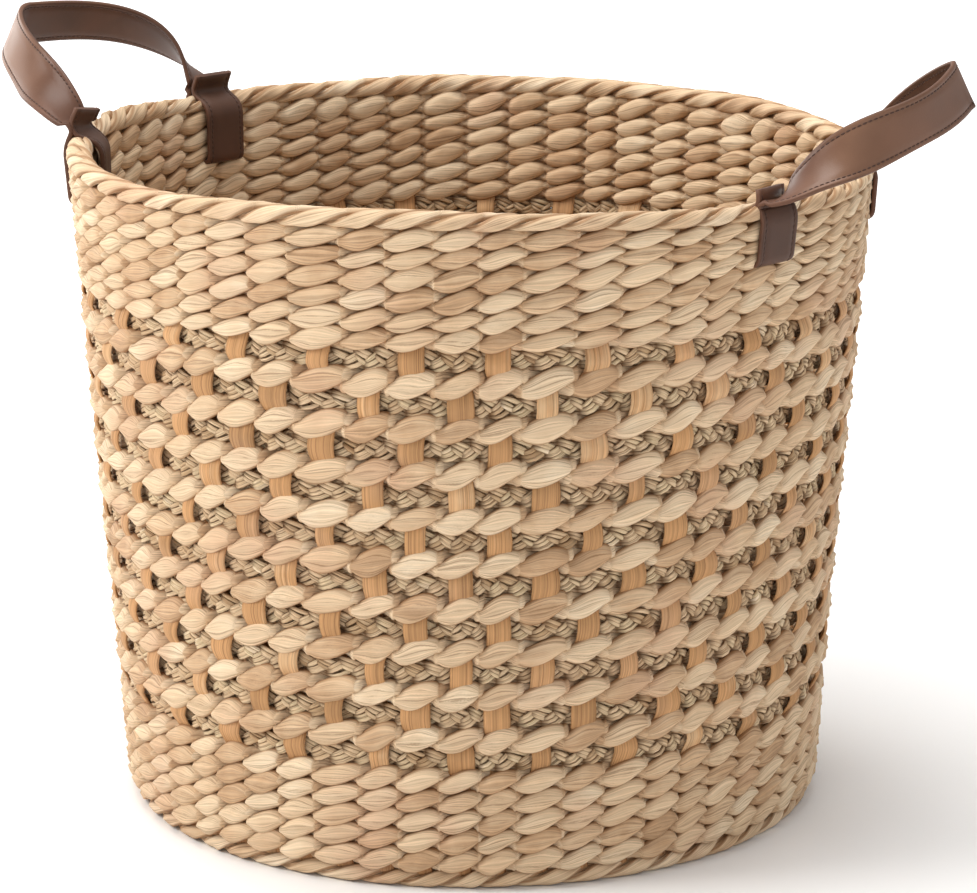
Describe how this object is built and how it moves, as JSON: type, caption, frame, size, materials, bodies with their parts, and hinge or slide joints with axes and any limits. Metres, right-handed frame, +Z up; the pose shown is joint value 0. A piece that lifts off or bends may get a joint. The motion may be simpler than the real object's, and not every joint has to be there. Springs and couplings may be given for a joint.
{
  "type": "woven laundry basket",
  "caption": "Round woven laundry basket, slightly flared, with twined rows, flat braids between the middle rows and two looped leather strap handles that swing.",
  "frame": {"origin": "middle of the foot rope's underside, on the floor", "axes": "+Z up along the basket's axis; the strap handles stand at +X and -X; -Y is the side nearest the picture's view"},
  "size_m": [0.5252, 0.42, 0.4066],
  "materials": {
    "hyacinth": "dry plant fibre, matt",
    "hyacinth_pale": "dry plant fibre, matt",
    "seagrass": "flat plaited grass, matt",
    "leather": "smooth, satin"
  },
  "bodies": {
    "basket": {"rim_rope": "hyacinth_pale", "upper_row_1": "hyacinth", "upper_row_2": "hyacinth", "upper_row_3": "hyacinth", "upper_row_4": "hyacinth", "upper_row_5": "hyacinth", "upper_row_6": "hyacinth", "middle_row_1": "hyacinth", "middle_row_2": "hyacinth", "middle_row_3": "hyacinth", "middle_row_4": "hyacinth", "middle_row_5": "hyacinth", "middle_row_6": "hyacinth", "middle_row_7": "hyacinth", "middle_row_8": "hyacinth", "middle_row_9": "hyacinth", "lower_row_1": "hyacinth", "lower_row_2": "hyacinth", "lower_row_3": "hyacinth", "lower_row_4": "hyacinth", "lower_row_5": "hyacinth", "braid_1": "seagrass", "braid_2": "seagrass", "braid_3": "seagrass", "braid_4": "seagrass", "braid_5": "seagrass", "braid_6": "seagrass", "braid_7": "seagrass", "braid_8": "seagrass", "braid_9": "seagrass", "braid_10": "seagrass", "foot_rope": "hyacinth_pale", "base_weave": "hyacinth", "right_handle_back_loop": "leather", "right_handle_front_loop": "leather", "left_handle_back_loop": "leather", "left_handle_front_loop": "leather"},
    "right_handle": {"right_handle_arch": "leather"},
    "left_handle": {"left_handle_arch": "leather"}
  },
  "joints": [
    {"name": "right_handle_swing", "type": "hinge", "parent": "basket", "child": "right_handle", "pos_m": [0.19531, 0, 0.35437], "axis": [0, 1, 0], "range_deg": [-70, 50]},
    {"name": "left_handle_swing", "type": "hinge", "parent": "basket", "child": "left_handle", "pos_m": [-0.19531, 0, 0.35437], "axis": [0, -1, 0], "range_deg": [-70, 50]}
  ]
}
